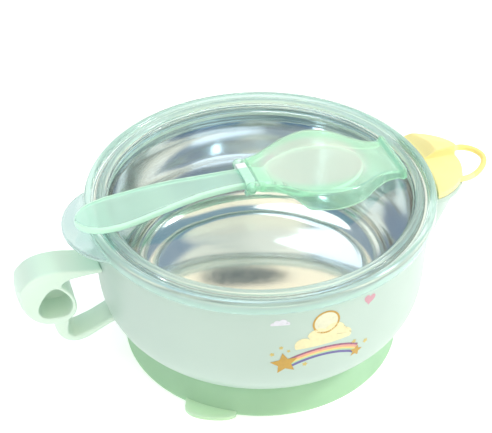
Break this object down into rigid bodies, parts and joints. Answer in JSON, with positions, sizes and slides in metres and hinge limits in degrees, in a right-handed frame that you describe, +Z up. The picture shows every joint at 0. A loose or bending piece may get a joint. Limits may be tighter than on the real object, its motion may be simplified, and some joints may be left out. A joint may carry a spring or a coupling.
{
  "type": "insulated suction feeding bowl",
  "caption": "Baby feeding bowl: steel liner in a mint shell with side handle and water spout, clear lid, spoon with flip-up cover, plug, and suction cup.",
  "frame": {"origin": "centre of the suction cup's resting face, on the bowl's vertical axis", "axes": "+Z up, +X towards the water spout, -X towards the handle and the lid's lift tab"},
  "size_m": [0.198, 0.1404, 0.0805],
  "materials": {
    "shell_plastic": "pale mint, glossy moulded",
    "liner_steel": "fine circular brushing, bright",
    "seal_silicone": "soft, milky",
    "lid_plastic": "clear with a mint tint",
    "spoon_plastic": "translucent mint",
    "clip_plastic": "white, glossy",
    "cover_plastic": "translucent mint",
    "plug_silicone": "pale yellow, satin",
    "cup_silicone": "green, satin"
  },
  "bodies": {
    "suction_base": {"suction_cup": "cup_silicone"},
    "release_flap": {"release_tab": "cup_silicone"},
    "shell": {"outer_shell": "shell_plastic", "handle": "shell_plastic"},
    "liner": {"liner_bowl": "liner_steel", "liner_seal": "seal_silicone"},
    "lid": {"lid": "lid_plastic", "lid_seal": "seal_silicone"},
    "spoon": {"spoon": "spoon_plastic", "cover_clip": "clip_plastic"},
    "cover": {"spoon_cover": "cover_plastic"},
    "plug": {"filler_plug": "plug_silicone"}
  },
  "joints": [
    {"name": "shell_release", "type": "slide", "parent": "suction_base", "child": "shell", "axis": [0, 0, 1], "range_m": [0, 0.016]},
    {"name": "flap_bend", "type": "hinge", "parent": "suction_base", "child": "release_flap", "pos_m": [-0.0349, -0.04632, 0.0021], "axis": [-0.7986, 0.6018, 0], "range_deg": [0, 55], "stiffness_Nm_per_rad": 0.02},
    {"name": "liner_lift", "type": "slide", "parent": "shell", "child": "liner", "axis": [0, 0, 1], "range_m": [0, 0.056]},
    {"name": "lid_lift", "type": "slide", "parent": "liner", "child": "lid", "axis": [0, 0, 1], "range_m": [0, 0.025]},
    {"name": "spoon_lift", "type": "slide", "parent": "lid", "child": "spoon", "axis": [0, 0, 1], "range_m": [0, 0.02]},
    {"name": "cover_flip", "type": "hinge", "parent": "spoon", "child": "cover", "pos_m": [-0.00649, -0.00028, 0.0782], "axis": [0.0436, -0.999, 0], "range_deg": [0, 120]},
    {"name": "plug_pull", "type": "slide", "parent": "shell", "child": "plug", "axis": [0, 0, 1], "range_m": [0, 0.014]}
  ]
}
